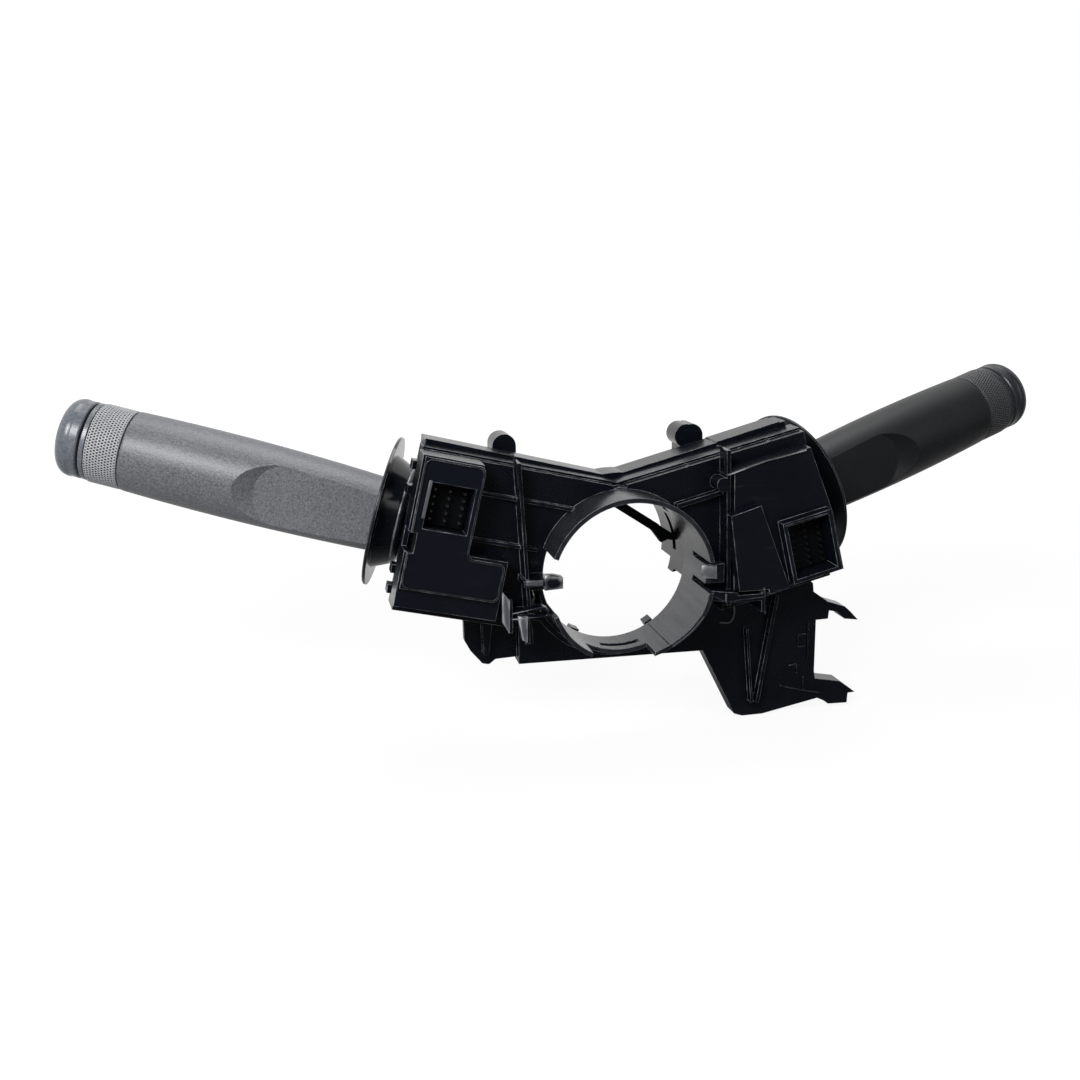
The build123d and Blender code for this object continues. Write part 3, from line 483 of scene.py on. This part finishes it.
tinned_pin = moulded(
    "tinned_pin", (0.20, 0.20, 0.20), (0.34, 0.34, 0.335), (0.70, 0.70, 0.68),
    roughness=0.26, specular=0.5, grain=4000.0, bump=0.04, edge_radius=0.0001, wear_and_glint=0.5,
    marks=0.2, metallic=1.0,
)
# the light-side pins are the tinned pins painted near black: painted shade
pin_painted_shade = moulded(
    "pin_painted_shade", (0.003, 0.003, 0.004), (0.006, 0.006, 0.007), (0.02, 0.02, 0.02),
    roughness=0.5, specular=0.2, grain=4000.0, bump=0.04, edge_radius=0.0001, wear_and_glint=0.3, marks=0.1,
)
zinc_steel = moulded(
    "zinc_steel", (0.36, 0.36, 0.36), (0.50, 0.50, 0.49), (0.68, 0.68, 0.67),
    roughness=0.30, specular=0.5, grain=3500.0, bump=0.05, edge_radius=0.00015, wear_and_glint=0.5,
    marks=0.2, metallic=1.0,
)


def knurl_finish(name, low, high):
    """Ridges between low and high over pits painted dark, which is painted shade in the
    recesses; the ring keeps its pit depth as an attribute."""
    pit_seen, pit_full = 0.30, 0.62
    pit_shade_colour = (0.004, 0.005, 0.007)
    ridge_roughness, pit_roughness = 0.34, 0.70
    grain_strength, grain_depth = 0.05, 0.1 * mm
    material = bpy.data.materials.new(name)
    material.use_nodes = True
    tree = material.node_tree
    shader = tree.nodes["Principled BSDF"]
    depth = tree.nodes.new("ShaderNodeAttribute")
    depth.attribute_name = "pit"
    grain_node = place(tree, mould_grain, Grain=5200.0, Marks=0.1)
    pit = remap(tree, depth.outputs["Fac"], pit_seen, pit_full)
    ridge = mix_colour(tree, grain_node.outputs["Tone"], low, high)
    # the pits are painted dark: painted shade in the recesses
    colour = mix_colour(tree, pit, ridge, pit_shade_colour)
    tree.links.new(colour, shader.inputs["Base Color"])
    gloss = remap(tree, pit, 0.0, 1.0, ridge_roughness, pit_roughness)
    tree.links.new(gloss, shader.inputs["Roughness"])
    relief = tree.nodes.new("ShaderNodeBump")
    relief.inputs["Strength"].default_value = grain_strength
    relief.inputs["Distance"].default_value = grain_depth
    tree.links.new(grain_node.outputs["Height"], relief.inputs["Height"])
    tree.links.new(relief.outputs["Normal"], shader.inputs["Normal"])
    shader.inputs["Specular IOR Level"].default_value = 0.5
    return material


# the knurled rings are one plastic: the wiper ring is painted lighter as lit and the light ring
# darker as shaded
knurled = {
    "wiper": knurl_finish("knurl_painted_lit", (0.22, 0.225, 0.235), (0.38, 0.385, 0.40)),
    "light": knurl_finish("knurl_painted_shade", (0.022, 0.023, 0.025), (0.045, 0.047, 0.050)),
}

# ---------------------------------------------------------------- finish of every carried piece
finishes = {
    housing_satin: ("column_carrier", "front_cover"),
    case_gloss: (
        "wiper_switch_case", "light_switch_case", "wiper_case_cover", "light_case_cover",
    ),
    stalk_painted_lit: ("wiper_stalk_shell",),
    stalk_painted_shade: ("light_stalk_shell",),
    cap_painted_lit: ("wiper_trim_ring", "wiper_end_button"),
    cap_painted_shade: ("light_trim_ring", "light_end_button"),
    shield_gloss: ("wiper_dust_shield",),
    shield_painted_shade: ("light_dust_shield",),
    inner_moulding: (
        "light_yoke", "wiper_yoke", "light_lever_stem", "wiper_lever_stem",
        "light_pin_header", "wiper_pin_header",
    ),
    acetal_white: (
        "light_detent_plunger", "wiper_detent_plunger", "light_detent_track", "wiper_detent_track",
    ),
    pawl_black: ("cancel_pawl",),
    board_lacquer: ("light_circuit_board", "wiper_circuit_board"),
    tinned_pin: ("wiper_terminal_pins",),
    pin_painted_shade: ("light_terminal_pins",),
}
finish_of = {name: finish for finish, names in finishes.items() for name in names}
for name, node in frame["nodes"].items():
    slots = node.data.materials
    slots.clear()
    slots.append(finish_of.get(name, zinc_steel))

# ---------------------------------------------------------------- knurled rings
ring_start = 95.0 * mm
ring_end = 107.0 * mm
ring_bore = 10.05 * mm
ring_radius = 14.9 * mm
lip = 0.5 * mm
pit_depth = 0.40 * mm
pits_round = 84
pit_columns = 10
points_round = 6
points_along = 7
lip_points = 5


def knurled_ring(side):
    """Ring carried round the stalk. Its section is a closed loop: bore, rounded lips and
    outer face. On the outer face the radius drops by pit_depth * p, where
    p = (cos 2pi(Nt - c) + cos 2pi(Nt + c) + cos 4pi c + 1.5) / 4.5, with t the turn from 0
    to 1, N pits round and c half the column number: round pits in staggered columns."""
    turn = np.linspace(0, 1, pits_round * points_round, endpoint=False)
    face = np.linspace(ring_start + lip, ring_end - lip, pit_columns * points_along + 1)
    bend = np.linspace(0, math.pi / 2, lip_points)[:-1]
    s = np.concatenate((
        [ring_start], ring_start + lip * (1 - np.cos(bend)), face,
        ring_end - lip * (1 - np.cos(bend[::-1])), [ring_end],
    ))
    r = np.concatenate((
        [ring_bore], ring_radius - lip * (1 - np.sin(bend)), np.full(len(face), ring_radius),
        ring_radius - lip * (1 - np.sin(bend[::-1])), [ring_bore],
    ))
    inside = (s >= face[0]) & (s <= face[-1]) & (r > ring_bore + mm)
    column = (s - face[0]) / (face[-1] - face[0]) * pit_columns / 2
    wave = 2 * math.pi
    n_t, c = pits_round * turn[None], column[:, None]
    pit = (np.cos(wave * (n_t - c)) + np.cos(wave * (n_t + c)) + np.cos(2 * wave * c) + 1.5) / 4.5
    pit = pit * inside[:, None]
    radius = r[:, None] - pit_depth * pit
    grid = (
        flange_centre
        + s[:, None, None] * outward
        + (radius * np.cos(wave * turn))[..., None] * upward
        + (radius * np.sin(wave * turn))[..., None] * dashward
    )
    piece = sheet_mesh(
        f"{side}_knurled_ring", grid, ring_u=True, ring_v=True, mirrored=side == "wiper",
    )
    mark = piece.data.attributes.new("pit", "FLOAT", "POINT")
    mark.data.foreach_set("value", pit.astype(np.float32).ravel())
    smooth(piece)
    piece.data.materials.append(knurled[side])
    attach(piece, body_of(f"{side}_rotary_ring"))
    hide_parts(f"{side}_rotary_ring")


for side in ("light", "wiper"):
    knurled_ring(side)

# ---------------------------------------------------------------- sleeve of the wiper dust shield
cup_lift = 1.7 * mm
sleeve_along = np.array((-7.0, -9.3, -9.6, -9.3, -7.0)) * mm
sleeve_radius = np.array((18.55, 17.2, 16.8, 16.3, 17.4)) * mm
sleeve_sides = 96


def shield_sleeve():
    """Sleeve that carries the cup of the wiper dust shield back towards its chamber: a thin
    closed section turned round the stalk, narrowing away from the flange."""
    turn = np.linspace(0, 2 * math.pi, sleeve_sides, endpoint=False)
    grid = (
        flange_centre + cup_lift * upward
        + sleeve_along[:, None, None] * outward
        + (sleeve_radius[:, None] * np.cos(turn))[..., None] * upward
        + (sleeve_radius[:, None] * np.sin(turn))[..., None] * dashward
    )
    piece = sheet_mesh("wiper_shield_sleeve", grid, ring_u=True, ring_v=True, mirrored=True)
    outward_faces(piece)
    piece.data.materials.append(shield_gloss)
    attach(piece, body_of("wiper_dust_shield"))


shield_sleeve()

# ---------------------------------------------------------------- ridges and fins of the housing
# Lengths in this section are millimetres, and the planes are places along Y.
plate_edge = 0.25
ledge_plane = -10.1
bracket_plane = 16.2


def on_housing(piece, finish):
    """Give a piece of the housing its finish and body."""
    piece.data.materials.append(finish)
    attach(piece, "housing")


def in_plane(y, *corners):
    """Route through (x, z) corners at one y."""
    return [(x, y, z) for x, z in corners]


def wiper_wing(u, w, y):
    """Point of the wiper wing's own plane, u along the wing and w across it."""
    c, s = math.cos(wing_rise), math.sin(wing_rise)
    return (w * s - u * c, y, u * s + w * c)


def ridge(
    name, route, width, depth, finish, bend=1.0, across=(0, 1, 0), slot="housing_plastic",
):
    """Moulded ridge: its route, its width in the plane of the face and its depth across
    the face; bend rounds the route's corners."""
    path = rounded_route(np.array(route) * mm, bend * mm)
    on_housing(swept_bar(name, path, width * mm, depth * mm, across), finish)


def plate(name, outline, near, far, finish):
    """Flat moulded form: an outline of (x, z) corners carried from near to far along Y,
    drawn in towards its middle by plate_edge at both ends for a rounded edge."""
    corners = np.array(outline, float)
    middle = corners.mean(axis=0)
    spread = corners - middle
    drawn = middle + spread * (1 - plate_edge / np.linalg.norm(spread, axis=1, keepdims=True))
    stations = (
        (near, drawn), (near + plate_edge, corners), (far - plate_edge, corners), (far, drawn),
    )
    grid = np.stack([
        np.insert(shape, 1, depth, axis=1) for depth, shape in stations
    ]) * mm
    piece = sheet_mesh(name, grid, ring_v=True)
    outward_faces(piece, rounded=False)
    on_housing(piece, finish)


# collar: latch at the left, shelves, lip of the lower segment and its seam
ridge("latch_stub", in_plane(-8.2, (-37.3, 1.3), (-31.5, 0.9)), 1.9, 1.5, lit_face_paint)
ridge(
    "shelf_lip",
    in_plane(-7.3, (-42.4, -9.3), (-30.9, -7.7), (-29.4, -9.5), (-30.2, -11.3), (-42.6, -11.4)),
    0.6, 3.4, housing_satin, bend=1.3,
)
ridge(
    "ledge_edge", in_plane(ledge_plane, (30.4, -7.8), (36.5, -10.9), (51.0, -10.2)),
    0.55, 0.8, housing_satin, bend=0.6,
)
ridge("ledge_end", in_plane(ledge_plane, (36.5, -8.2), (36.5, -11.0)), 0.6, 0.8, lit_face_paint)
ridge("shelf_fin", in_plane(-9.6, (51.3, -6.8), (52.0, -16.6)), 0.7, 1.6, housing_satin)

# below the height slope_top the collar's front edge slopes back, and the lip follows it
lip_radius = 29.9
lip_face = -13.93
lip_furthest = -14.13
slope, slope_top = 0.25, -14.95
turn = np.radians(np.linspace(-15.0, -58.0, 17))
lip_x, lip_z = lip_radius * np.cos(turn), lip_radius * np.sin(turn)
lip_y = np.maximum(lip_furthest, lip_face - slope * (lip_z - slope_top))
ridge("collar_lip", np.stack((lip_x, lip_y, lip_z), axis=1), 1.3, 0.7, lit_face_paint)
ridge(
    "segment_seam", ((14.7, -11.0, -25.0), (14.7, 13.4, -25.0)),
    0.35, 0.3, inner_moulding, across=(-0.51, 0, 0.86),
)
plate(
    "latch_block",
    ((-30.6, 3.4), (-26.9, 3.2), (-24.0, 2.4), (-24.0, -1.7), (-30.6, -2.0)),
    -8.4, -4.6, case_gloss,
)
plate(
    "finger_pad", ((27.2, 3.3), (32.9, 2.9), (33.1, -2.1), (27.2, -1.4)),
    -9.9, -8.8, lit_face_paint,
)

# left of the collar: one fin below the case and one on the carrier
plate(
    "case_fin", ((-46.0, -1.2), (-43.3, -4.4), (-43.6, -16.6), (-46.2, -12.4)),
    -8.8, -7.4, lit_face_paint,
)
plate(
    "carrier_fin", ((-40.4, -10.9), (-37.0, -10.9), (-37.2, -20.5), (-39.0, -19.6)),
    -8.9, -5.6, lit_face_paint,
)

# upright ribs: hooked tops
ridge(
    "left_hook", in_plane(-6.3, (-41.6, 46.6), (-40.7, 46.4), (-39.7, 42.6), (-39.0, 34.6)),
    0.7, 1.2, housing_satin, bend=0.9,
)
ridge(
    "right_hook", in_plane(-5.4, (33.6, 45.7), (35.4, 45.2), (36.3, 42.0), (36.9, 35.2)),
    0.8, 1.2, housing_satin, bend=1.4,
)

# light case: upper ledge and the brow of its socket
ridge(
    "case_ledge", in_plane(-2.3, (37.2, 35.2), (51.7, 39.4), (67.4, 42.8)),
    0.7, 9.0, housing_satin,
)
ridge(
    "socket_brow", in_plane(-10.7, (58.5, 16.3), (74.6, 19.9)),
    0.5, 0.7, case_gloss, slot="case_plastic",
)

# bracket: foot of the pair of ribs, hook, latch with its frame, tab, sill and strut
ridge(
    "rib_foot", in_plane(14.9, (56.7, -60.4), (57.4, -62.0), (59.0, -60.9)),
    0.8, 3.6, housing_satin, bend=0.7,
)
ridge(
    "plate_hook",
    in_plane(bracket_plane, (49.4, -17.7), (51.1, -24.3), (49.5, -28.6), (44.9, -27.9)),
    0.6, 1.0, lit_face_paint, bend=2.2,
)
ridge(
    "bracket_latch", in_plane(bracket_plane, (82.4, -31.6), (82.7, -45.8)),
    0.6, 0.9, housing_satin,
)
ridge(
    "bracket_frame",
    in_plane(bracket_plane, (81.5, -35.8), (78.3, -35.8), (78.3, -41.0), (81.5, -41.0)),
    0.45, 0.8, housing_satin, bend=0.5,
)
ridge(
    "bracket_tab", in_plane(bracket_plane, (75.0, -48.5), (78.0, -48.0), (78.2, -52.0)),
    0.5, 0.9, housing_satin, bend=0.6,
)
ridge(
    "bracket_sill", in_plane(bracket_plane, (71.5, -56.8), (80.3, -59.6), (88.6, -61.5)),
    0.5, 0.9, housing_satin,
)
ridge(
    "bracket_strut", in_plane(bracket_plane, (81.0, -53.9), (81.3, -59.4)),
    0.6, 0.9, housing_satin,
)

# wiper case: rail beside the socket and a bead round the cover's step, open at the snap
ridge(
    "socket_rail", (wiper_wing(77.1, 22.6, -10.1), wiper_wing(77.3, 9.8, -10.1)),
    1.2, 0.6, lit_face_paint, slot="case_plastic",
)
bead = [wiper_wing(u, w, -10.2) for u, w in (
    (79.9, -3.4), (79.9, -15.2), (46.2, -15.2), (46.2, -2.4),
    (59.8, -2.4), (59.8, 29.8), (79.9, 29.8), (79.9, 4.6),
)]
ridge("cover_bead", bead, 0.45, 0.7, case_gloss, bend=2.4, slot="case_plastic")

# ---------------------------------------------------------------- camera, stage and lamps
eye = Vector((-120.10, -396.03, 117.82)) * mm
forward = Vector((0.21421, 0.94511, -0.24672)).normalized()
right = forward.cross(Vector((0.06660, 0.23787, 0.96901))).normalized()
above = right.cross(forward)
lens = bpy.data.cameras.new("camera")
lens.lens = 39.34
lens.sensor_width = 36.0
lens.clip_start = 0.01
lens.clip_end = 50.0
camera = bpy.data.objects.new("camera", lens)
camera.matrix_world = Matrix((
    (right.x, above.x, -forward.x, eye.x),
    (right.y, above.y, -forward.y, eye.y),
    (right.z, above.z, -forward.z, eye.z),
    (0, 0, 0, 1),
))
bpy.context.scene.collection.objects.link(camera)
bpy.context.scene.camera = camera


def ray_kinds(tree):
    """Masks for rays from the lens, and for rays off gloss or through glass."""
    path = tree.nodes.new("ShaderNodeLightPath")
    bounced = math_node(
        tree, "ADD", path.outputs["Is Glossy Ray"], path.outputs["Is Transmission Ray"], clamp=True,
    )
    return path.outputs["Is Camera Ray"], bounced


# strengths, where 1 is white
diffuse_level = 0.24
dim_level = 0.03
lens_level = 1.13
# the backdrop that reflections see grows from dim to white between these directions along Y
backdrop_dim, backdrop_white = -0.25, 0.20

world = bpy.data.worlds.new("studio")
world.use_nodes = True
bpy.context.scene.world = world
sky = world.node_tree
lit = sky.nodes["Background"]
lit.inputs["Color"].default_value = (1, 1, 1, 1)
towards = sky.nodes.new("ShaderNodeSeparateXYZ")
sky.links.new(sky.nodes.new("ShaderNodeTexCoord").outputs["Generated"], towards.inputs[0])
backdrop = remap(sky, towards.outputs["Y"], backdrop_dim, backdrop_white, dim_level, 1.0)
from_lens, bounced = ray_kinds(sky)
level = blend_number(sky, bounced, diffuse_level, backdrop)
sky.links.new(blend_number(sky, from_lens, level, 1.0), lit.inputs["Strength"])

floor_z = cad_box[0].z - 0.4 * mm
floor_reach = 4.0
floor_white_at = 0.30
paper_low, paper_high = (0.46, 0.46, 0.46), (0.52, 0.52, 0.52)
# the lens sees the lit paper with its shadow near the object, and plain white further out
shadow_near, shadow_far, least_glow = 0.30, 1.10, 0.80
gloss_share = 0.95
reach = np.linspace(-floor_reach, floor_reach, 9)
floor_grid = np.stack(np.broadcast_arrays(reach[:, None], reach[None], floor_z), axis=2)
floor = sheet_mesh("studio_floor", floor_grid)
paper = bpy.data.materials.new("studio_paper")
paper.use_nodes = True
tree = paper.node_tree
paint = tree.nodes["Principled BSDF"]
where = tree.nodes.new("ShaderNodeTexCoord").outputs["Object"]
fibre = noise(tree, where, 30.0, 3.0)
tree.links.new(mix_colour(tree, fibre, paper_low, paper_high), paint.inputs["Base Color"])
paint.inputs["Roughness"].default_value = 0.9
paint.inputs["Specular IOR Level"].default_value = 0.1
parts = tree.nodes.new("ShaderNodeSeparateXYZ")
tree.links.new(where, parts.inputs[0])
away = tree.nodes.new("ShaderNodeVectorMath")
away.operation = "LENGTH"
tree.links.new(where, away.inputs[0])
shadow_share = remap(tree, away.outputs["Value"], shadow_near, shadow_far, least_glow, 1.0)
behind = remap(tree, parts.outputs["Y"], 0.0, floor_white_at, dim_level, 1.0)
from_lens, bounced = ray_kinds(tree)
glow = tree.nodes.new("ShaderNodeEmission")
glow.inputs["Color"].default_value = (1, 1, 1, 1)
tree.links.new(blend_number(tree, from_lens, behind, lens_level), glow.inputs["Strength"])
blend = tree.nodes.new("ShaderNodeMixShader")
in_gloss = math_node(tree, "MULTIPLY", bounced, gloss_share)
share = blend_number(tree, from_lens, in_gloss, shadow_share)
tree.links.new(share, blend.inputs["Fac"])
tree.links.new(paint.outputs["BSDF"], blend.inputs[1])
tree.links.new(glow.outputs["Emission"], blend.inputs[2])
tree.links.new(blend.outputs["Shader"], tree.nodes["Material Output"].inputs["Surface"])
floor.data.materials.append(paper)


def lamp(name, place_at, aim, size, power, height=None):
    """Soft lamp at place_at, facing aim: size wide and, for a strip, height high."""
    light = bpy.data.lights.new(name, "AREA")
    light.shape = "RECTANGLE"
    light.size = size
    light.size_y = height or size
    light.energy = power
    holder = bpy.data.objects.new(name, light)
    holder.location = place_at
    holder.rotation_mode = "QUATERNION"
    holder.rotation_quaternion = (Vector(aim) - Vector(place_at)).to_track_quat("-Z", "Y")
    bpy.context.scene.collection.objects.link(holder)


scene = bpy.context.scene
scene.view_settings.view_transform = "Standard"

lamp("key_lamp", (-0.44, -0.55, 0.48), (-0.08, 0.03, 0.02), 0.32, 7.6)
lamp("side_strip", (0.75, -0.75, 0.30), (0.0, 0.0, 0.0), 0.14, 1.8, height=1.1)
lamp("top_lamp", (0.05, 0.25, 0.85), (0.0, 0.0, 0.0), 0.5, 3.4)
